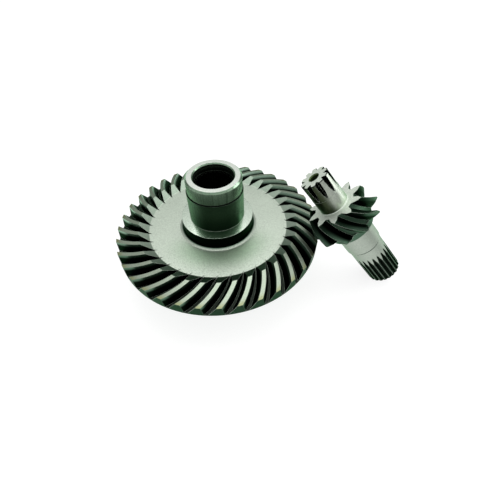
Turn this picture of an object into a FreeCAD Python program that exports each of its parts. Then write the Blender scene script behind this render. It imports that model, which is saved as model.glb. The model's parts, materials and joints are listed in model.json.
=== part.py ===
import FreeCAD, Part
import math
import os

V = FreeCAD.Vector
UP = V(0, 0, 1)

# A spiral bevel set of two forged and machined pieces, as it stands on a table.
# The ring gear lies on its back hub with its teeth and its long hub up. The pinion
# stands on the edge of its splined end and leans its heel on the ring gear's teeth.
# The origin is on the ring gear's axis, on the table, and Z is that axis.

# Tooth system. Sizes are at the heel, the wide outer end of the teeth.
ring_teeth = 36
pinion_teeth = 10
heel_module = 4.14
pressure_angle = 22.5
spiral_angle = 35.0
cutter_radius = 57.0
ring_addendum = 1.9
pinion_addendum = 4.6
root_clearance = 0.68
addendum_taper = 2.7
dedendum_taper = 0.6
ring_tooth_share = 0.42
backlash = 0.2

# Ring gear: the disc
notch_r = 49.8
toe_root_r = 52.0
toe_crest_r = 59.2
rim_r = 76.0
rim_below_root = 0.8
rim_chamfer = 1.4
web_thickness = 9.6

# Ring gear: the hub above the disc
hub_length = 43.7
hub_r = 20.0
hub_nose_r = 19.4
hub_nose_length = 10.4
hub_groove_width = 0.5
hub_groove_depth = 0.45
hub_top_chamfer = 1.2
shoulder_r = 26.2
shoulder_height = 10.4
shoulder_slope = 0.6
shoulder_fillet = 2.8

# Ring gear: the hub below the disc
back_hub_length = 29.5
back_hub_r = 20.0
back_hub_chamfer = 1.2

# Ring gear: the bore
bore_r = 14.0
bore_depth = 6.0
bore_chamfer = 0.8
bore_spline_teeth = 24
bore_spline_minor_r = 12.2
bore_spline_major_r = 13.3

# Pinion: head
pinion_face_width = 16.0
collar_r = 17.0
collar_length = 5.6
collar_chamfer = 0.8

# Pinion: the short end, on the toe side
neck_r = 10.0
neck_length = 25.3
neck_fillet = 0.5
neck_end_chamfer = 0.5
neck_seat_length = 11.0
neck_seat_step = 0.2
neck_spline_teeth = 10
neck_spline_root_r = 6.9
neck_spline_length = 13.9
neck_spline_share = 0.66
neck_cutter_r = 24.0
centre_hole_r = 3.3
centre_hole_depth = 9.0

# Pinion: the long end, on the heel side
journal_r = 13.0
journal_end = 42.1
journal_fillet = 1.0
journal_chamfer = 0.4
relief_r = 11.8
relief_width = 0.9
shank_r = 12.25
shank_end = 78.2
shank_chamfer = 0.9
shank_spline_teeth = 21
shank_spline_root_r = 11.0
shank_spline_length = 28.4
shank_spline_share = 0.68
shank_cutter_r = 26.0
drive_centre_r = 2.6
drive_centre_depth = 6.0

# How the pinion leans on the ring gear
lean_heading = -18.4
lean_overlap = 3.17
lean_offset = 3.2
lean_nest = 0.9
ring_phase = 5.0

# Worked out from the tooth system
ring_cone = math.atan2(ring_teeth, pinion_teeth)
pinion_cone = math.pi / 2 - ring_cone
cone_distance = heel_module * math.hypot(ring_teeth, pinion_teeth) / 2
ring_dedendum = pinion_addendum + root_clearance
pinion_dedendum = ring_addendum + root_clearance
heel_pitch = math.pi * heel_module
ring_tooth = ring_tooth_share * heel_pitch
pinion_tooth = heel_pitch - ring_tooth - backlash
add_slope = math.tan(math.radians(addendum_taper))
ded_slope = math.tan(math.radians(dedendum_taper))

# Each gear has its apex above it, and its teeth run away from the apex. A tooth's
# height over the pitch cone shrinks towards the apex by its own slope.
RING = {
    "teeth": ring_teeth, "cone": ring_cone, "tooth": ring_tooth, "hand": 1,
    "addendum": ring_addendum, "add_slope": add_slope,
    "dedendum": ring_dedendum, "ded_slope": ded_slope, "flank_steps": 1,
}
PINION = {
    "teeth": pinion_teeth, "cone": pinion_cone, "tooth": pinion_tooth, "hand": -1,
    "addendum": pinion_addendum, "add_slope": ded_slope,
    "dedendum": pinion_dedendum, "ded_slope": add_slope, "flank_steps": 2,
}


def revolve(points):
    """Turn a closed outline of (radius, height) points about Z."""
    wire = Part.makePolygon([V(r, 0, z) for r, z in points] + [V(points[0][0], 0, points[0][1])])
    return Part.Face(wire).revolve(V(0, 0, 0), UP, 360)


def turned(shape, angle):
    copy = shape.copy()
    copy.rotate(V(0, 0, 0), UP, angle)
    return copy


def around(shape, count, start=0.0):
    """Copies of a shape spaced evenly about Z."""
    return [turned(shape, start + 360.0 * i / count) for i in range(count)]


def cove(r, z, radius, up=1, steps=2):
    """Outline points of a hollow fillet between a wall at radius r and a level face at z,
    from the face to the wall. The wall rises from the face if up is 1."""
    turns = [math.pi / 2 * k / steps for k in range(steps + 1)]
    return [(r + radius * (1 - math.sin(t)), z + up * radius * (1 - math.cos(t))) for t in turns]


def on_pitch_cone(gear, distance, height):
    """Radius and height, from the apex, of a point above or below the pitch cone."""
    c, s = math.cos(gear["cone"]), math.sin(gear["cone"])
    return distance * s + height * c, -distance * c + height * s


def tip(gear, distance):
    height = gear["addendum"] - (cone_distance - distance) * gear["add_slope"]
    return on_pitch_cone(gear, distance, height)


def root(gear, distance):
    height = gear["dedendum"] - (cone_distance - distance) * gear["ded_slope"]
    return on_pitch_cone(gear, distance, -height)


def height_at(line, gear, radius):
    """Height at a radius on the tip or the root line, which are straight."""
    (r0, z0), (r1, z1) = line(gear, cone_distance), line(gear, cone_distance / 2)
    return z0 + (z1 - z0) * (radius - r0) / (r1 - r0)


def trace(gear, distance):
    """Turn of the tooth about the axis, in degrees, along an arc of the cutter's radius."""
    middle = cone_distance - (toe_to_heel() / 2)
    lean = math.sin(math.radians(spiral_angle))
    centre2 = middle ** 2 + cutter_radius ** 2 - 2 * middle * cutter_radius * lean
    cosine = (distance ** 2 + centre2 - cutter_radius ** 2) / (2 * distance * math.sqrt(centre2))
    return gear["hand"] * math.degrees(math.acos(cosine)) / math.sin(gear["cone"])


def toe_to_heel():
    return pinion_face_width / math.cos(pinion_cone)


def inv(angle):
    return math.tan(angle) - angle


def space_outline(gear, distance):
    """One tooth space, square to the pitch cone at a distance from the apex."""
    scale = distance / cone_distance
    unrolled = distance * math.tan(gear["cone"])
    flank = math.atan(math.tan(math.radians(pressure_angle)) / math.cos(math.radians(spiral_angle)))
    base = unrolled * math.cos(flank)
    pitch_half = scale * gear["tooth"] / (2 * unrolled) + inv(flank)
    step = math.pi * math.cos(gear["cone"]) / gear["teeth"]
    shrink = cone_distance - distance
    bottom = unrolled - gear["dedendum"] + shrink * gear["ded_slope"]
    high = unrolled + gear["addendum"] - shrink * gear["add_slope"] + 0.8

    def flank_point(rho):
        slope = math.acos(min(1.0, base / rho))
        half = step - pitch_half + inv(slope)
        return rho * math.sin(half), rho * math.cos(half) - unrolled

    turn = math.radians(trace(gear, distance))
    out = V(math.cos(turn), math.sin(turn), 0)
    side = V(-math.sin(turn), math.cos(turn), 0)

    def place(x, y):
        r, z = on_pitch_cone(gear, distance, y)
        return out * r + side * x + UP * z

    steps = gear["flank_steps"]
    side_points = [flank_point(high + (bottom - high) * k / steps) for k in range(steps + 1)]
    other_side = [(-x, y) for x, y in reversed(side_points)]
    over = [(0, high - unrolled + 1.2)]
    points = [place(x, y) for x, y in side_points + other_side + over]
    return Part.makePolygon(points + points[:1])


def tooth_spaces(gear, start, end, phase, phase_distance, sections=6):
    """All tooth spaces of a gear, lofted from past the toe to past the heel."""
    stops = [start + (end - start) * k / (sections - 1) for k in range(sections)]
    space = Part.makeLoft([space_outline(gear, d) for d in stops], True, False)
    return around(space, gear["teeth"], phase - trace(gear, phase_distance))


def spline_groove(outer_r, root_r, teeth, share, length, cutter_r, end=2.0, chords=2):
    """A milled groove in a shaft's end. It starts at the end, at z = 0, and runs down,
    and its floor climbs out of the shaft along chords of the disc cutter's arc."""
    top = outer_r + 0.6
    half_top = share * math.pi / teeth * outer_r + 0.25
    half_low = half_top - (top - root_r) * math.tan(math.radians(30))
    swing = math.acos(1 - (outer_r + 0.2 - root_r) / cutter_r)
    stops = [(root_r, end)]
    for k in range(chords + 1):
        turn = swing * k / chords
        stops.append((root_r + cutter_r * (1 - math.cos(turn)),
                      cutter_r * (math.sin(swing) - math.sin(turn)) - length))
    pieces = []
    for (r, z), (next_r, next_z) in zip(stops, stops[1:]):
        lift = r - root_r
        points = [V(r, -half_low, z), V(top + lift, -half_top, z), V(top + lift, half_top, z),
                  V(r, half_low, z)]
        face = Part.Face(Part.makePolygon(points + points[:1]))
        pieces.append(face.extrude(V(next_r - r, 0, next_z - z)))
    return pieces[0].fuse(pieces[1:]).removeSplitter()


def ring_levels():
    """Heights above the table that the ring gear is built from."""
    back = back_hub_length
    web = back + web_thickness
    apex = web - height_at(root, RING, notch_r)
    return back, web, apex


def ring_gear():
    back, web, apex = ring_levels()
    top = web + hub_length
    rim_z = apex + height_at(root, RING, rim_r) - rim_below_root
    crown_z = apex + height_at(tip, RING, rim_r)
    toe_z = apex + height_at(tip, RING, toe_crest_r)
    nose = top - hub_nose_length
    groove = hub_r - hub_groove_depth
    blank = revolve([
        (bore_r, 0), (back_hub_r - back_hub_chamfer, 0),
        (back_hub_r, back_hub_chamfer), (back_hub_r, back),
        (rim_r - rim_chamfer, back), (rim_r, rim_z),
        (rim_r, crown_z), (toe_crest_r, toe_z), (toe_root_r, web),
        *cove(shoulder_r, web, shoulder_fillet),
        (shoulder_r, web + shoulder_height - shoulder_slope),
        (hub_r, web + shoulder_height), (hub_r, nose - hub_groove_width),
        (groove, nose), (hub_nose_r, nose), (hub_nose_r, top - hub_top_chamfer),
        (hub_nose_r - hub_top_chamfer, top), (bore_r + bore_chamfer, top),
        (bore_r, top - bore_chamfer), (bore_r, top - bore_depth),
        (bore_spline_minor_r, top - bore_depth), (bore_spline_minor_r, bore_depth),
        (bore_r, bore_depth),
    ])
    toe_distance = toe_root_r / math.sin(ring_cone)
    spaces = tooth_spaces(RING, toe_distance - 4, cone_distance + 4, ring_phase, toe_distance)
    for space in spaces:
        space.translate(V(0, 0, apex))
    gear = blank.cut(spaces)
    return gear.cut(bore_splines(top - bore_depth))


def bore_splines(end):
    """The grooves of the internal spline, between the counterbores of the two ends."""
    pitch = 2 * math.pi / bore_spline_teeth
    outer, inner = bore_spline_major_r, bore_spline_minor_r - 0.6
    half_out, half_in = pitch * outer * 0.19, pitch * inner * 0.3
    low = bore_depth / 2
    points = [V(inner, -half_in, low), V(outer, -half_out, low), V(outer, half_out, low),
              V(inner, half_in, low)]
    groove = Part.Face(Part.makePolygon(points + points[:1])).extrude(V(0, 0, end))
    return around(groove, bore_spline_teeth)


def pinion_stations():
    """Distances from the pinion's apex, along its axis, of its toe face and heel crown."""
    crown_r, crown_z = tip(PINION, cone_distance)
    return -crown_z - pinion_face_width, -crown_z, crown_r


def pinion_shaft():
    """The pinion in its own frame: apex at the origin, short end up, long end down."""
    toe, crown, crown_r = pinion_stations()
    toe_r = crown_r - pinion_face_width * math.tan(pinion_cone + math.radians(dedendum_taper))
    back = crown + (crown_r - collar_r) * math.tan(pinion_cone)
    collar = back + collar_length
    end, drive = toe - neck_length, toe + shank_end
    relief = toe + journal_end
    land_r = neck_r - neck_seat_step
    blank = revolve([
        (0, -end - centre_hole_depth - centre_hole_r / 2), (centre_hole_r, -end - centre_hole_depth),
        (centre_hole_r, -end - 0.8), (centre_hole_r + 0.5, -end),
        (land_r - neck_end_chamfer, -end), (land_r, -end - neck_end_chamfer),
        (land_r, -toe + neck_seat_length + neck_fillet), (neck_r, -toe + neck_seat_length + neck_fillet),
        *reversed(cove(neck_r, -toe, neck_fillet, 1, 1)),
        (toe_r, -toe), (crown_r, -crown), (collar_r, -back), (collar_r, -collar + collar_chamfer),
        (collar_r - collar_chamfer, -collar), *cove(journal_r, -collar, journal_fillet, -1, 1),
        (journal_r, -relief + journal_chamfer), (journal_r - journal_chamfer, -relief),
        (relief_r, -relief), (relief_r, -relief - relief_width), (shank_r, -relief - relief_width),
        (shank_r, -drive + shank_chamfer), (shank_r - shank_chamfer, -drive),
        (drive_centre_r + 1, -drive), (drive_centre_r, -drive + 1.6),
        (drive_centre_r, -drive + drive_centre_depth),
        (0, -drive + drive_centre_depth + drive_centre_r / 2),
    ])
    toe_distance = toe / math.cos(pinion_cone)
    spaces = tooth_spaces(PINION, toe_distance - 4, cone_distance + 4, 0, toe_distance)
    gear = blank.cut(spaces)
    neck = spline_groove(land_r, neck_spline_root_r, neck_spline_teeth, neck_spline_share,
                         neck_spline_length, neck_cutter_r)
    neck.translate(V(0, 0, -end))
    gear = gear.cut(around(neck, neck_spline_teeth))
    shank = spline_groove(shank_r, shank_spline_root_r, shank_spline_teeth, shank_spline_share,
                          shank_spline_length, shank_cutter_r)
    shank.rotate(V(0, 0, 0), V(1, 0, 0), 180)
    shank.translate(V(0, 0, -drive))
    return gear.cut(around(shank, shank_spline_teeth, 180.0 / shank_spline_teeth))


def lean(shaft):
    """Stand the pinion on the edge of its long end, with its heel crown nested between
    two of the ring gear's teeth. The angle follows from the two heights."""
    toe, crown, crown_r = pinion_stations()
    apex = ring_levels()[2]
    rest_r = rim_r - lean_overlap
    rest_z = apex + height_at(tip, RING, rest_r) - lean_nest
    edge_s, edge_r = toe + shank_end, shank_r - shank_chamfer
    along, across = edge_s - crown, crown_r - edge_r
    angle = math.asin(rest_z / math.hypot(along, across)) + math.atan2(across, along)
    centre_r = rest_r + crown_r * math.sin(angle)
    centre_z = rest_z + crown_r * math.cos(angle)
    shaft = shaft.copy()
    shaft.translate(V(0, 0, crown))
    shaft.rotate(V(0, 0, 0), V(0, 1, 0), math.degrees(angle) - 90)
    shaft.translate(V(centre_r, lean_offset, centre_z))
    return turned(shaft, lean_heading)


os.makedirs("parts", exist_ok=True)
for name, shape in (("ring_gear", ring_gear()), ("pinion_shaft", lean(pinion_shaft()))):
    shape.exportStep("parts/" + name + ".step")
    print(name, shape.isValid(), len(shape.Solids), round(shape.Volume), shape.BoundBox)
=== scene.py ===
# %% [markdown]
# # A ring gear and its pinion, in bare machined steel
# The forms are finished, so what is left for Blender is the steel itself. One forging
# shows many finishes side by side: black flanks, ground lands, a pale faced web and a
# dark turned hub. Part of the dark of the flanks, the hollows and the front of the hub is
# painted shade, and part of the pale is painted light and highlight.

# %% Load the gears
import bpy
import json
import math
from mathutils import Matrix, Vector

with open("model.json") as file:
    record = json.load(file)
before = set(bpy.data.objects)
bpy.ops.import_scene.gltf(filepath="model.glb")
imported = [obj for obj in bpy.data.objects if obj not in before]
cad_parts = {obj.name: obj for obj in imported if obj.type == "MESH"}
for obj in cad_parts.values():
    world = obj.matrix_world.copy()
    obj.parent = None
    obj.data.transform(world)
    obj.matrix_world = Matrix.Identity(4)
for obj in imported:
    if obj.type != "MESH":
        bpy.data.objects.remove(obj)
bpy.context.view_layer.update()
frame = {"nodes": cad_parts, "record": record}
ring = frame["nodes"]["ring_gear"]
pinion = frame["nodes"]["pinion_shaft"]
scene = bpy.context.scene

# %% [markdown]
# ## Node helpers
# A procedural material is a small sum on every point of the surface. These helpers keep
# such sums short: each adds one node, fills its sockets with numbers or with the outputs
# of other nodes, and hands back its output.

# %% Helpers for numbers and vectors
def fill(tree, socket, value):
    if isinstance(value, bpy.types.NodeSocket):
        tree.links.new(value, socket)
    else:
        socket.default_value = value


def maths(tree, operation, *values, clamp=False):
    node = tree.nodes.new("ShaderNodeMath")
    node.operation = operation
    node.use_clamp = clamp
    for socket, value in zip(node.inputs, values):
        fill(tree, socket, value)
    return node.outputs[0]


def vector_maths(tree, operation, *values):
    node = tree.nodes.new("ShaderNodeVectorMath")
    node.operation = operation
    for socket, value in zip(node.inputs, values):
        fill(tree, socket, value)
    return node.outputs["Value" if operation in ("DOT_PRODUCT", "LENGTH") else "Vector"]


def parts_of(tree, vector):
    node = tree.nodes.new("ShaderNodeSeparateXYZ")
    fill(tree, node.inputs[0], vector)
    return node.outputs


# %% [markdown]
# ## Masks
# A mask is a number from 0 to 1 that says where a finish lies. It could be painted by
# hand on an unwrapped mesh, but one that is worked out from a size stays sharp from near
# and follows the part. A smooth step makes a mask from any measure of the surface, two
# steps back to back make a band, and masks that are multiplied leave only the places
# that all of them share. The small numbers in a step are how soft its edge is.

# %% Helpers for masks
def ramp(tree, value, low, high, to_low=0.0, to_high=1.0):
    """A smooth step from one value to another as the input goes from low to high."""
    node = tree.nodes.new("ShaderNodeMapRange")
    node.interpolation_type = "SMOOTHSTEP"
    for socket, number in zip(node.inputs, (value, low, high, to_low, to_high)):
        fill(tree, socket, number)
    return node.outputs[0]


def both(tree, *masks):
    result = masks[0]
    for mask in masks[1:]:
        result = maths(tree, "MULTIPLY", result, mask)
    return result


def band(tree, value, low, high, soft):
    """1 between low and high, 0 outside, with soft edges."""
    return both(tree, ramp(tree, value, low - soft, low + soft),
                ramp(tree, value, high - soft, high + soft, 1.0, 0.0))


def other_than(tree, mask):
    return maths(tree, "SUBTRACT", 1.0, mask)


# %% Helpers for colour and noise
def blend(tree, factor, first, second):
    node = tree.nodes.new("ShaderNodeMix")
    node.data_type = "RGBA"
    fill(tree, node.inputs[0], factor)
    fill(tree, node.inputs[6], first)
    fill(tree, node.inputs[7], second)
    return node.outputs[2]


def dimmed(tree, colour, factor):
    node = tree.nodes.new("ShaderNodeVectorMath")
    node.operation = "SCALE"
    fill(tree, node.inputs[0], colour)
    fill(tree, node.inputs["Scale"], factor)
    return node.outputs[0]


def noise(tree, place, scale, detail=3.0, rough=0.55):
    node = tree.nodes.new("ShaderNodeTexNoise")
    fill(tree, node.inputs["Vector"], place)
    node.inputs["Scale"].default_value = scale
    node.inputs["Detail"].default_value = detail
    node.inputs["Roughness"].default_value = rough
    return node.outputs["Fac"]


# %% [markdown]
# ## Shared effects
# Edge wear, whose pale colour is also a painted highlight along the edges, and machining
# grain are on both gears, so each is a node group with named sockets, built once. The wear
# mask compares the true face direction with one that a Bevel node has rounded: they differ
# only close to an edge.

# %% Make an empty node group with named sockets
def new_group(name, inputs, outputs):
    group = bpy.data.node_groups.new(name, "ShaderNodeTree")
    for label, kind, value in inputs:
        socket = group.interface.new_socket(label, in_out="INPUT", socket_type=kind)
        if value is not None:
            socket.default_value = value
    for label, kind in outputs:
        group.interface.new_socket(label, in_out="OUTPUT", socket_type=kind)
    return group, group.nodes.new("NodeGroupInput"), group.nodes.new("NodeGroupOutput")


def use_group(tree, group, **values):
    node = tree.nodes.new("ShaderNodeGroup")
    node.node_tree = group
    for label, value in values.items():
        fill(tree, node.inputs[label.replace("_", " ")], value)
    return node


# %% Edge wear, which also paints a highlight
FLOAT = "NodeSocketFloat"
SMOOTH_EDGE_SAMPLES = 8
edge_wear_and_highlight, inside, outside = new_group(
    "edge wear", [("Width", FLOAT, 0.0004), ("Strength", FLOAT, 1.0)], [("Mask", FLOAT)])
rounded = edge_wear_and_highlight.nodes.new("ShaderNodeBevel")
rounded.samples = SMOOTH_EDGE_SAMPLES
edge_wear_and_highlight.links.new(inside.outputs["Width"], rounded.inputs["Radius"])
face = edge_wear_and_highlight.nodes.new("ShaderNodeNewGeometry")
same = vector_maths(edge_wear_and_highlight, "DOT_PRODUCT", rounded.outputs[0], face.outputs["True Normal"])
worn_and_highlight = ramp(edge_wear_and_highlight, same, 0.97, 0.80)
worn_and_highlight = maths(edge_wear_and_highlight, "MULTIPLY", worn_and_highlight, inside.outputs["Strength"], clamp=True)
edge_wear_and_highlight.links.new(worn_and_highlight, outside.inputs["Mask"])
print("edge wear", len(edge_wear_and_highlight.nodes), "nodes")

# %% Machining grain
CLOUD_SCALE = 45.0
grain, inside, outside = new_group(
    "machining grain", [("Place", "NodeSocketVector", None), ("Scale", FLOAT, 900.0)],
    [("Speckle", FLOAT), ("Cloud", FLOAT)])
speckle = grain.nodes.new("ShaderNodeTexNoise")
speckle.inputs["Detail"].default_value = 4.0
speckle.inputs["Roughness"].default_value = 0.7
grain.links.new(inside.outputs["Place"], speckle.inputs["Vector"])
grain.links.new(inside.outputs["Scale"], speckle.inputs["Scale"])
grain.links.new(speckle.outputs["Fac"], outside.inputs["Speckle"])
cloud = noise(grain, inside.outputs["Place"], CLOUD_SCALE)
grain.links.new(cloud, outside.inputs["Cloud"])
print("groups", [group.name for group in bpy.data.node_groups])

# %% [markdown]
# ## Telling the faces of a gear apart
# Every gear here is a body of revolution with teeth cut in it, so a point's radius, its
# height along the axis and its face direction say which face it is on. All three come
# from Object coordinates. The pinion leans, so a Mapping node first stands it upright.

# %% Radius, height and face direction about a gear's own axis
def gear_sense(tree, turn=(0.0, 0.0, 0.0), centre=(0.0, 0.0, 0.0)):
    place = tree.nodes.new("ShaderNodeTexCoord")
    moved = vector_maths(tree, "SUBTRACT", place.outputs["Object"], centre)
    upright = []
    for vector in (moved, place.outputs["Normal"]):
        mapping = tree.nodes.new("ShaderNodeMapping")
        tree.links.new(vector, mapping.inputs["Vector"])
        mapping.inputs["Rotation"].default_value = turn
        upright.append(mapping.outputs[0])
    point, normal = upright
    flat = vector_maths(tree, "MULTIPLY", point, (1.0, 1.0, 0.0))
    outward = vector_maths(tree, "NORMALIZE", flat)
    return {
        "point": point,
        "outward": outward,
        "radius": vector_maths(tree, "LENGTH", flat),
        "height": parts_of(tree, point)[2],
        "face_out": vector_maths(tree, "DOT_PRODUCT", normal, outward),
        "face_up": parts_of(tree, normal)[2],
        "object": place.outputs["Object"],
        "normal": place.outputs["Normal"],
    }


# %% [markdown]
# ## The steels
# Steel has no colour of its own but that of its skin: a black coat from the heat
# treatment, straw tints where it was heated, oil, or the bare metal that a grinding
# wheel leaves. Each skin could be a material on faces of its own, but the edges between
# them would be hard and would follow the triangles. So one metal shader serves every
# face, and masks change only its colour and roughness. Some of the masks paint shade,
# light, reflections and highlights into that colour. The colours are linear.

# %% Start a steel, and lay finishes on it
GRAZING_TINT = (0.55, 0.74, 0.58, 1.0)


def steel(name):
    """A material with a metal Principled shader and nothing else in it."""
    material = bpy.data.materials.new(name)
    material.use_nodes = True
    shader = material.node_tree.nodes["Principled BSDF"]
    shader.inputs["Metallic"].default_value = 1.0
    shader.inputs["Specular Tint"].default_value = GRAZING_TINT
    return material, material.node_tree, shader


def layered(tree, base, layers):
    """Lay finishes over a base finish, each where its mask is 1."""
    colour, rough = base
    for mask, (layer_colour, layer_rough) in layers:
        colour = blend(tree, mask, colour, layer_colour)
        change = maths(tree, "SUBTRACT", layer_rough, rough)
        rough = maths(tree, "MULTIPLY_ADD", mask, change, rough)
    return colour, rough


# %% [markdown]
# ## Grain, wear with a painted highlight, and soft edges
# No machined face is even. A fine speckle and a slow cloud change the colour a little,
# bare metal shows where edges have been knocked, with a colour pale enough to be a painted
# highlight along them, and a Bevel node rounds every edge by a fifth of a millimetre for
# the light alone, so that it catches a thin highlight.

# %% Last touches that both gears share
GRAIN_SCALE = 1500.0
SPECKLE_SPAN, CLOUD_SPAN, ROUGH_SPAN = 0.95, 0.16, 0.12
WORN_AND_HIGHLIGHT_WIDTH, SOFT_EDGE = 0.00045, 0.00022
GRAIN_DEPTH, GRAIN_STRENGTH = 0.00005, 0.25
# Bare metal at knocked edges, pale enough to be also a painted highlight along them.
BARE_EDGE_AND_HIGHLIGHT = (0.55, 0.63, 0.54, 1.0)


def uneven(tree, value, span):
    """A factor that swings by span about 1 as a noise value goes from 0 to 1."""
    return maths(tree, "MULTIPLY_ADD", value, span, 1.0 - span / 2)


def finish_steel(tree, shader, place, colour, rough, wear_and_highlight):
    marks = use_group(tree, grain, Place=place, Scale=GRAIN_SCALE)
    shade = maths(tree, "MULTIPLY", uneven(tree, marks.outputs["Speckle"], SPECKLE_SPAN),
                  uneven(tree, marks.outputs["Cloud"], CLOUD_SPAN))
    worn_and_highlight = use_group(tree, edge_wear_and_highlight, Width=WORN_AND_HIGHLIGHT_WIDTH, Strength=wear_and_highlight).outputs["Mask"]
    colour = blend(tree, worn_and_highlight, dimmed(tree, colour, shade), BARE_EDGE_AND_HIGHLIGHT)
    tree.links.new(colour, shader.inputs["Base Color"])
    smoother = maths(tree, "SUBTRACT", rough, ROUGH_SPAN / 2)
    rough = maths(tree, "MULTIPLY_ADD", marks.outputs["Cloud"], ROUGH_SPAN, smoother)
    tree.links.new(rough, shader.inputs["Roughness"])
    soft = tree.nodes.new("ShaderNodeBevel")
    soft.samples = SMOOTH_EDGE_SAMPLES
    soft.inputs["Radius"].default_value = SOFT_EDGE
    bump = tree.nodes.new("ShaderNodeBump")
    bump.inputs["Strength"].default_value = GRAIN_STRENGTH
    bump.inputs["Distance"].default_value = GRAIN_DEPTH
    tree.links.new(marks.outputs["Speckle"], bump.inputs["Height"])
    tree.links.new(soft.outputs[0], bump.inputs["Normal"])
    tree.links.new(bump.outputs[0], shader.inputs["Normal"])
    print("steel with", len(tree.nodes), "nodes")


# %% [markdown]
# ## The ring gear's steel
# The web is a flat face at one height, the hub is a cylinder of one radius, and the lands
# and roots of the teeth face almost straight up, the lands above the roots. So a handful
# of sizes from the drawing is enough to tell them apart.

# %% Sizes of the ring gear, in metres
WEB_Z, WEB_R = 0.0391, 0.0522
SHOULDER_R, SHOULDER_Z = 0.0262, 0.0495
FILLET_R = 0.0296
HUB_R, TOP_Z = 0.020, 0.0828
GROOVE_Z = 0.0724
BORE_R = 0.014
NOTCH_R, CREST_R, CROWN_R = 0.0498, 0.0592, 0.0760
CROWN_Z, LAND_SLOPE = 0.03906, 0.2257
STRAW_R, HEEL_R = 0.0715, 0.0740
ROOT_END_Z = 0.0305
FRONT = (0.0, -1.0, 0.0)

# %% Where a point of the ring gear is, and which way it looks
ring_steel, tree, shader = steel("ring_steel")
at = gear_sense(tree)
radius, height, up, out = at["radius"], at["height"], at["face_up"], at["face_out"]
level = ramp(tree, up, 0.80, 0.92)
to_front = vector_maths(tree, "DOT_PRODUCT", at["outward"], FRONT)
near = ramp(tree, to_front, 0.25, 0.95)
faces_front = ramp(tree, vector_maths(tree, "DOT_PRODUCT", at["normal"], FRONT), 0.40, 0.95)

# %% [markdown]
# The tips of all teeth lie on one flat cone. How far a point is below that cone tells a
# land from a root, and also paints shade on a flank towards its root, where no light gets
# in. The toes and flanks at the front are darker, as painted shade, and the teeth at the
# back are painted lighter, as painted light, after which way they face.

# %% Masks of the teeth
on_teeth = ramp(tree, radius, NOTCH_R + 0.0002, NOTCH_R + 0.0006)
tip_height = maths(tree, "MULTIPLY_ADD", radius, -LAND_SLOPE, CROWN_Z + LAND_SLOPE * CROWN_R)
below_tip = maths(tree, "SUBTRACT", tip_height, height)
land = both(tree, level, on_teeth, ramp(tree, below_tip, 0.0004, 0.0008, 1.0, 0.0))
straw = both(tree, land, ramp(tree, radius, STRAW_R, CROWN_R))
root = both(tree, level, on_teeth, ramp(tree, below_tip, 0.0012, 0.0020))
toe = both(tree, ramp(tree, out, -0.20, -0.32), ramp(tree, up, 0.60, 0.75),
           band(tree, radius, NOTCH_R, CREST_R + 0.0006, 0.0004))
# Painted shade: the toes that face the front are painted darker.
toe_painted_shade = both(tree, toe, near)
heel = both(tree, ramp(tree, out, 0.80, 0.92),
            ramp(tree, radius, HEEL_R - 0.001, HEEL_R + 0.001))
# Painted light: the teeth at the back are painted lighter.
back_teeth_painted_light = both(tree, ramp(tree, to_front, 0.35, -0.25), on_teeth)
# Painted shade: the flanks darken towards the roots.
painted_shade_deep = both(tree, ramp(tree, below_tip, 0.0005, 0.0028),
            ramp(tree, radius, NOTCH_R, NOTCH_R + 0.002),
            ramp(tree, height, ROOT_END_Z, ROOT_END_Z + 0.0015))
print("masks of the teeth:", len(tree.nodes), "nodes so far")

# %% [markdown]
# The web was faced on a lathe and has a dense fine grain, so a second noise puts darker
# spots on it. Its front near the hub is painted darker and greener, a painted reflection
# of the hub. The shoulder that stands on it has a wall and fillet painted dark as shade,
# since they see little light, under a bright turned ledge.

# %% Masks of the web and the shoulder
SPOT_SCALE = 1300.0
web = both(tree, level, band(tree, height, WEB_Z - 0.0006, WEB_Z + 0.0006, 0.0002),
           band(tree, radius, SHOULDER_R, WEB_R, 0.0003))
spots = ramp(tree, noise(tree, at["object"], SPOT_SCALE, 2.0), 0.50, 0.66)
spots = both(tree, web, spots, maths(tree, "MULTIPLY_ADD", near, 0.55, 0.25))
# Painted reflection: the web's front near the hub is painted darker and greener, as the hub
# would reflect in it.
web_painted_reflection = both(tree, web, near, ramp(tree, radius, 0.050, 0.033),
             ramp(tree, radius, 0.0282, 0.0310))
wall = both(tree, ramp(tree, out, 0.28, 0.75),
            band(tree, radius, SHOULDER_R - 0.0006, FILLET_R, 0.0002),
            band(tree, height, WEB_Z, SHOULDER_Z - 0.0008, 0.0004))
ledge = both(tree, level, band(tree, radius, HUB_R, SHOULDER_R, 0.0002),
             band(tree, height, SHOULDER_Z - 0.001, SHOULDER_Z + 0.0006, 0.0002))
print("masks of the web:", len(tree.nodes), "nodes so far")

# %% [markdown]
# The hub was turned and then oiled. Its nose is bright, its body darker, and both get
# painted shade where they face the front, and darker still towards the foot. A noise that
# is stretched along the axis draws fine upright dark lines, painted reflections like the
# dark bands that a shiny cylinder shows.

# %% Masks of the hub and the bore
LINE_SCALE, LINE_STRETCH = 900.0, 0.03
hub = both(tree, ramp(tree, radius, HUB_R + 0.0006, HUB_R + 0.0002),
           ramp(tree, height, SHOULDER_Z - 0.0004, SHOULDER_Z))
body = both(tree, hub, ramp(tree, height, GROOVE_Z, GROOVE_Z - 0.0003))
shaded = both(tree, hub, faces_front,
              ramp(tree, height, GROOVE_Z + 0.0002, GROOVE_Z - 0.0003, 0.75, 1.0))
# Painted reflection: fine upright dark lines on the hub.
stretched = vector_maths(tree, "MULTIPLY", at["object"], (1.0, 1.0, LINE_STRETCH))
painted_reflection_lines = noise(tree, stretched, LINE_SCALE, 2.0)
painted_reflection_lines = both(tree, hub, ramp(tree, painted_reflection_lines, 0.48, 0.70, 0.0, 0.5))
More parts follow.
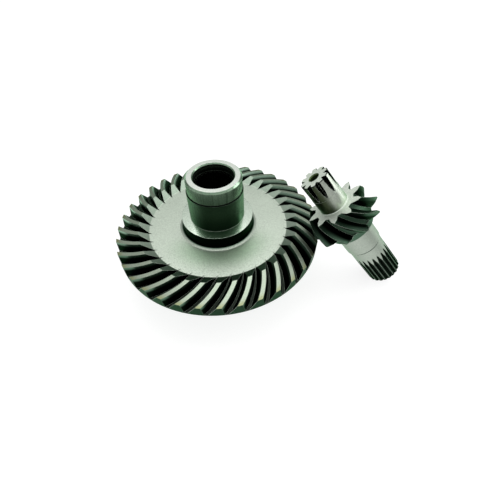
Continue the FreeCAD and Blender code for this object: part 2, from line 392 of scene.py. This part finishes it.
# Painted shade: the hub darkens towards its foot, most where it faces the front.
hub_foot_painted_shade = both(tree, hub, ramp(tree, height, GROOVE_Z - 0.002, SHOULDER_Z + 0.0005),
            maths(tree, "MULTIPLY_ADD", faces_front, 0.65, 0.35))
# The groove and the bore get painted shade.
groove = both(tree, hub, band(tree, height, GROOVE_Z - 0.0005, GROOVE_Z + 0.0003, 0.0001))
top = both(tree, level, ramp(tree, height, TOP_Z - 0.0016, TOP_Z - 0.0011))
bore = ramp(tree, radius, BORE_R + 0.0003, BORE_R - 0.0001)
mouth = both(tree, bore, ramp(tree, height, TOP_Z - 0.0045, TOP_Z - 0.0005))
print("masks of the hub:", len(tree.nodes), "nodes so far")

# %% [markdown]
# A finish is a colour and a roughness. The finishes are laid on like coats, the wide
# ones first and the small ones over them, so the order of the list matters. The bore and
# the groove are painted near black as shade, and edge wear with its painted highlight is
# held back there, where nothing knocks the steel bare.

# %% Finishes of the ring gear's teeth
# The flanks' dark green is partly a dark skin and partly painted shade, for the gaps between
# the teeth where little light gets in.
FLANK_SKIN_AND_SHADE = ((0.100, 0.175, 0.118, 1.0), 0.36)
# Painted light for the teeth at the back.
BACK_PAINTED_LIGHT = ((0.400, 0.560, 0.440, 1.0), 0.40)
# Painted shade: near black, for the roots, the shoulder wall, the groove, the bore and the
# slots, where little light gets in.
PAINTED_SHADE = ((0.0006, 0.0013, 0.0008, 1.0), 0.50)
ROOT = ((0.022, 0.028, 0.022, 1.0), 0.42)
LAND = ((0.360, 0.425, 0.335, 1.0), 0.34)
STRAW = ((0.300, 0.330, 0.180, 1.0), 0.36)
HEEL = ((0.018, 0.034, 0.022, 1.0), 0.40)
TOE = ((0.340, 0.420, 0.340, 1.0), 0.42)
# Painted shade for the toes at the front.
TOE_PAINTED_SHADE = ((0.075, 0.120, 0.084, 1.0), 0.38)

# %% Finishes of the web, the shoulder and the hub
FACED = ((0.570, 0.640, 0.550, 1.0), 0.44)
# Painted reflection of the hub on the web's front.
WEB_PAINTED_REFLECTION = ((0.360, 0.490, 0.350, 1.0), 0.44)
SPOT = ((0.340, 0.420, 0.330, 1.0), 0.46)
LEDGE = ((0.680, 0.790, 0.670, 1.0), 0.19)
GROUND = ((0.900, 0.970, 0.880, 1.0), 0.30)
OILED = ((0.400, 0.570, 0.410, 1.0), 0.22)
BODY = ((0.240, 0.380, 0.265, 1.0), 0.24)
SHADED = ((0.030, 0.058, 0.033, 1.0), 0.26)
# Painted shade for the foot of the hub.
FOOT_PAINTED_SHADE = ((0.004, 0.010, 0.005, 1.0), 0.30)

# %% Lay the finishes on the ring gear
WEAR_AND_HIGHLIGHT = 0.80
colour, rough = layered(tree, FLANK_SKIN_AND_SHADE, [
    (back_teeth_painted_light, BACK_PAINTED_LIGHT), (painted_shade_deep, PAINTED_SHADE), (land, LAND), (straw, STRAW), (root, ROOT),
    (toe, TOE), (toe_painted_shade, TOE_PAINTED_SHADE), (heel, HEEL),
    (web, FACED), (web_painted_reflection, WEB_PAINTED_REFLECTION), (spots, SPOT),
    (hub, OILED), (body, BODY), (shaded, SHADED), (painted_reflection_lines, SHADED), (hub_foot_painted_shade, FOOT_PAINTED_SHADE),
    (wall, PAINTED_SHADE), (ledge, LEDGE), (top, GROUND), (groove, PAINTED_SHADE), (bore, PAINTED_SHADE), (mouth, OILED),
])
kept_dark = maths(tree, "MAXIMUM", bore, groove)
wear_and_highlight = maths(tree, "MULTIPLY_ADD", kept_dark, -0.75, WEAR_AND_HIGHLIGHT)
finish_steel(tree, shader, at["object"], colour, rough, wear_and_highlight)

# %% [markdown]
# ## The pinion's steel
# The pinion's masks are read the same way, after its axis has been stood upright about
# the middle of its small end face, the star. The record gives the axis: the seat on the
# neck is one of the places where the pinion is mounted.

# %% The pinion's axis
SEAT_MIDDLE = 0.0060
mounts = {mount["name"]: mount for mount in frame["record"]["mounts"]}
pinion_axis = Vector(mounts["pinion_neck"]["axis"])
star_centre = Vector(mounts["pinion_neck"]["pos_m"]) - SEAT_MIDDLE * pinion_axis
stand = pinion_axis.rotation_difference(Vector((0, 0, 1))).to_euler()
print("star centre", star_centre[:], "axis", pinion_axis[:])

# %% Radii of the pinion and heights from its star, in metres
NECK_R, SEAT_Z, END_Z = 0.0100, 0.0110, 0.0253
HOLE_R, HOLE_Z = 0.0033, 0.0135
HEAD_Z, TIP_R, TIP_SLOPE = -0.0165, 0.0205, 0.289
HEEL_BACK_R = 0.0178
COLLAR_Z, SHANK_R, SPLINE_Z = -0.0236, 0.01225, -0.0490
CREST_RUN = 0.010
LONG_TEETH, FIRST_CREST = 21, 0.5733
# The side of the neck that gets a painted dark reflection.
DARK_REFLECTION_SIDE = (-0.54, -0.82, -0.18)

# %% Where a point of the pinion is, and which way it looks
pinion_steel, tree, shader = steel("pinion_steel")
at = gear_sense(tree, tuple(stand), tuple(star_centre))
radius, height, up, out = at["radius"], at["height"], at["face_up"], at["face_out"]
level = ramp(tree, up, 0.80, 0.95)
skin = ramp(tree, out, 0.80, 0.92)
lower_side = vector_maths(tree, "DOT_PRODUCT", at["normal"], DARK_REFLECTION_SIDE)

# %% [markdown]
# The short end has the pale flat star around the foot of the neck, the ground neck with
# a painted dark reflection on its lower side, and the slots that were milled into it,
# painted dark as shade. The mask of the neck asks for its full radius, so the floors of
# the slots stay dark.

# %% Masks of the short end
star = both(tree, level, band(tree, height, -0.0004, 0.0004, 0.0002))
neck = both(tree, skin, ramp(tree, height, 0.0001, 0.0003),
            ramp(tree, radius, NECK_R - 0.0007, NECK_R - 0.0004))
# Painted dark reflection on the neck's lower side.
neck_painted_reflection = both(tree, neck, ramp(tree, lower_side, 0.45, 0.98))
cove = both(tree, band(tree, height, 0.00003, 0.0005, 0.00003),
            ramp(tree, radius, NECK_R - 0.00005, NECK_R + 0.00005))
end = both(tree, level, ramp(tree, height, END_Z - 0.0013, END_Z - 0.0003))
hole = both(tree, ramp(tree, radius, HOLE_R + 0.0006, HOLE_R + 0.0004),
            ramp(tree, height, HOLE_Z - 0.0005, HOLE_Z + 0.0005))
slots = both(tree, ramp(tree, height, SEAT_Z - 0.0002, SEAT_Z + 0.0002), other_than(tree, neck))
step = both(tree, neck, band(tree, height, SEAT_Z - 0.0010, SEAT_Z + 0.0008, 0.0003))
print("masks of the short end:", len(tree.nodes), "nodes so far")

# %% [markdown]
# The head is black like the ring gear's flanks. The tips of its teeth lie on a slender
# cone, and the depth below that cone paints shade into the spaces between the teeth.

# %% Masks of the head
head =band(tree, height, HEAD_Z, -0.0002, 0.0001)
head_land = both(tree, head, ramp(tree, out, 0.85, 0.93))
tip_radius = maths(tree, "MULTIPLY_ADD", height, -TIP_SLOPE, TIP_R)
below_tip = maths(tree, "SUBTRACT", tip_radius, radius)
# Painted shade between the teeth of the head.
head_painted_shade = both(tree, head, ramp(tree, below_tip, 0.0006, 0.0032))
small_end = both(tree, head, ramp(tree, height, -0.0150, -0.0030))
heel = both(tree, ramp(tree, height, HEAD_Z + 0.001, HEAD_Z),
            ramp(tree, radius, HEEL_BACK_R - 0.0002, HEEL_BACK_R + 0.0002))

# %% [markdown]
# The long end is ground before its slots are milled, so what is left of the ground skin
# runs into each crest as a pale point. The angle about the axis, counted in teeth, gives
# the middle of every crest, and the pale point narrows as the height falls into a thin
# painted highlight, while the rest of the crest is painted dark as shade.

# %% Masks of the long end
behind = both(tree, skin, ramp(tree, height, COLLAR_Z + 0.0004, COLLAR_Z - 0.0004),
              ramp(tree, radius, SHANK_R - 0.00045, SHANK_R - 0.00015))
across = parts_of(tree, at["point"])
teeth_round = maths(tree, "MULTIPLY_ADD", maths(tree, "ARCTAN2", across[1], across[0]),
                    LONG_TEETH / (2 * math.pi), FIRST_CREST)
off_middle = maths(tree, "SUBTRACT", maths(tree, "FRACT", teeth_round), 0.5)
point_width = ramp(tree, height, SPLINE_Z - CREST_RUN, SPLINE_Z, 0.02, 0.52)
past_point = maths(tree, "SUBTRACT", maths(tree, "ABSOLUTE", off_middle), point_width)
skin_and_painted_highlight = ramp(tree, past_point, 0.03, -0.03)
# Painted shade on each crest, apart from its pale point and thin painted highlight.
crests_painted_shade = both(tree, behind, ramp(tree, height, SPLINE_Z + 0.0005, SPLINE_Z - 0.0005),
              other_than(tree, skin_and_painted_highlight))
milled = both(tree, ramp(tree, height, SPLINE_Z + 0.0005, SPLINE_Z), other_than(tree, behind))
print("masks of the pinion:", len(tree.nodes), "nodes so far")

# %% [markdown]
# The pinion's coats go on in the same way. The star is the palest and the dullest, as
# bare steel that was only faced, and the spaces between its teeth and its splines are
# painted nearly black as shade, so edge wear and its painted highlight are held back there too.

# %% Finishes of the pinion
HEAD_BLACK = ((0.070, 0.130, 0.086, 1.0), 0.36)
HEAD_DEEP = ((0.010, 0.022, 0.013, 1.0), 0.40)
HEAD_LAND = ((0.040, 0.075, 0.048, 1.0), 0.36)
STAR = ((0.880, 0.940, 0.850, 1.0), 0.62)
NECK = ((0.620, 0.680, 0.590, 1.0), 0.30)
# Painted dark reflection for the neck's lower side.
NECK_PAINTED_REFLECTION = ((0.030, 0.040, 0.020, 1.0), 0.30)
HOLLOW = ((0.120, 0.180, 0.070, 1.0), 0.45)
JOURNAL = ((0.390, 0.440, 0.380, 1.0), 0.38)
# Painted shade for the crests of the long splines.
CREST_PAINTED_SHADE = ((0.013, 0.025, 0.017, 1.0), 0.36)

# %% Lay the finishes on the pinion
colour, rough = layered(tree, HEAD_BLACK, [
    (small_end, HEAD_DEEP), (head_painted_shade, PAINTED_SHADE), (head_land, HEAD_LAND), (heel, HEEL),
    (slots, PAINTED_SHADE), (neck, NECK), (neck_painted_reflection, NECK_PAINTED_REFLECTION),
    (star, STAR), (cove, STAR), (end, STAR), (hole, HOLLOW),
    (milled, PAINTED_SHADE), (behind, JOURNAL), (crests_painted_shade, CREST_PAINTED_SHADE),
])
kept_dark = maths(tree, "MAXIMUM", step, maths(tree, "MAXIMUM", milled, crests_painted_shade))
wear_and_highlight = maths(tree, "MULTIPLY_ADD", kept_dark, -0.70, WEAR_AND_HIGHLIGHT)
finish_steel(tree, shader, at["object"], colour, rough, wear_and_highlight)

# %% Put the steels on the gears
for node, material in ((ring, ring_steel), (pinion, pinion_steel)):
    for place in node.material_slots:
        place.material = material
    print(node.name, [place.material.name for place in node.material_slots])

# %% [markdown]
# ## Floor
# The gears stand on a white light table. It could be a plain white plane, but that turns
# grey where the light falls off. This plane shines a little by itself, so that the
# background stays white and only a faint shadow is left under the gears.

# %% The light table
TABLE_WIDTH, TABLE_Z = 12.0, -0.0002
bpy.ops.object.select_all(action="DESELECT")
bpy.ops.mesh.primitive_plane_add(size=TABLE_WIDTH, location=(0, 0, TABLE_Z))
table = bpy.context.active_object
table.name = "light_table"
paper = bpy.data.materials.new("white_table")
paper.use_nodes = True
shader = paper.node_tree.nodes["Principled BSDF"]
shader.inputs["Base Color"].default_value = (0.30, 0.30, 0.30, 1.0)
shader.inputs["Roughness"].default_value = 0.7
shader.inputs["Emission Color"].default_value = (1.0, 1.0, 1.0, 1.0)
shader.inputs["Emission Strength"].default_value = 0.82
table.data.materials.append(paper)
print(table.name, "is", TABLE_WIDTH, "m wide")

# %% [markdown]
# ## Light
# One wide soft light hangs over the set and another stands at the right, and the world
# fills in from all round. Polished steel shows little but its surroundings, so large
# plain lights give it calm, long reflections.

# %% Two soft lights
def soft_light(name, place, aim, size, power):
    data = bpy.data.lights.new(name, "AREA")
    data.shape = "RECTANGLE"
    data.size, data.size_y = size
    data.energy = power
    light = bpy.data.objects.new(name, data)
    scene.collection.objects.link(light)
    light.location = place
    light.rotation_euler = (Vector(aim) - Vector(place)).to_track_quat("-Z", "Y").to_euler()
    print(name, power, "W")


soft_light("overhead", place=(0.05, 0.30, 1.00), aim=(0.02, 0.0, 0.04),
           size=(0.8, 0.6), power=2.4)
soft_light("right_side", place=(0.90, 0.05, 0.40), aim=(0.08, -0.02, 0.05),
           size=(0.4, 0.6), power=1.5)

# %% [markdown]
# The world grows brighter from the horizon up and is a little dimmer at the far left, so
# the steel has something to reflect on each side. A Light Path node keeps it white where
# the camera looks straight into it.

# %% The world
world = bpy.data.worlds.new("studio")
world.use_nodes = True
sky = world.node_tree
direction = sky.nodes.new("ShaderNodeTexCoord")
sideways, _, upwards = parts_of(sky, direction.outputs["Generated"])
glow = both(sky, ramp(sky, upwards, 0.0, 0.85, 0.17, 0.85),
            ramp(sky, sideways, -0.62, -0.30, 0.80, 1.0))
seen = sky.nodes.new("ShaderNodeLightPath").outputs["Is Camera Ray"]
backdrop = sky.nodes["Background"]
backdrop.inputs["Color"].default_value = (1.0, 1.0, 1.0, 1.0)
sky.links.new(maths(sky, "MAXIMUM", glow, seen), backdrop.inputs["Strength"])
scene.world = world
scene.view_settings.view_transform = "Standard"
print("world", len(sky.nodes), "nodes")

# %% [markdown]
# ## Camera
# The camera's place and turn were worked out from the ellipses that the gears' circles
# make in the picture: it is close to the gears, above them, and looks steeply down. Its
# three axes are the columns of its matrix.

# %% The camera
YAW, PITCH, ROLL = math.radians(7.66), math.radians(48.82), math.radians(-0.60)
CAMERA_PLACE = (0.0, -0.180, 0.21064)
LENS, FILM = 23.12, 36.0
ahead = Vector((math.sin(YAW) * math.cos(PITCH), math.cos(YAW) * math.cos(PITCH),
                -math.sin(PITCH)))
side = Vector((math.cos(YAW), -math.sin(YAW), 0.0))
above = side.cross(ahead)
right = side * math.cos(ROLL) + above * math.sin(ROLL)
rise = above * math.cos(ROLL) - side * math.sin(ROLL)
lens = bpy.data.cameras.new("camera")
lens.sensor_width = FILM
lens.lens = LENS
camera = bpy.data.objects.new("camera", lens)
scene.collection.objects.link(camera)
axes = Matrix((right, rise, -ahead)).transposed().to_4x4()
camera.matrix_world = Matrix.Translation(CAMERA_PLACE) @ axes
scene.camera = camera
print("camera at", CAMERA_PLACE)
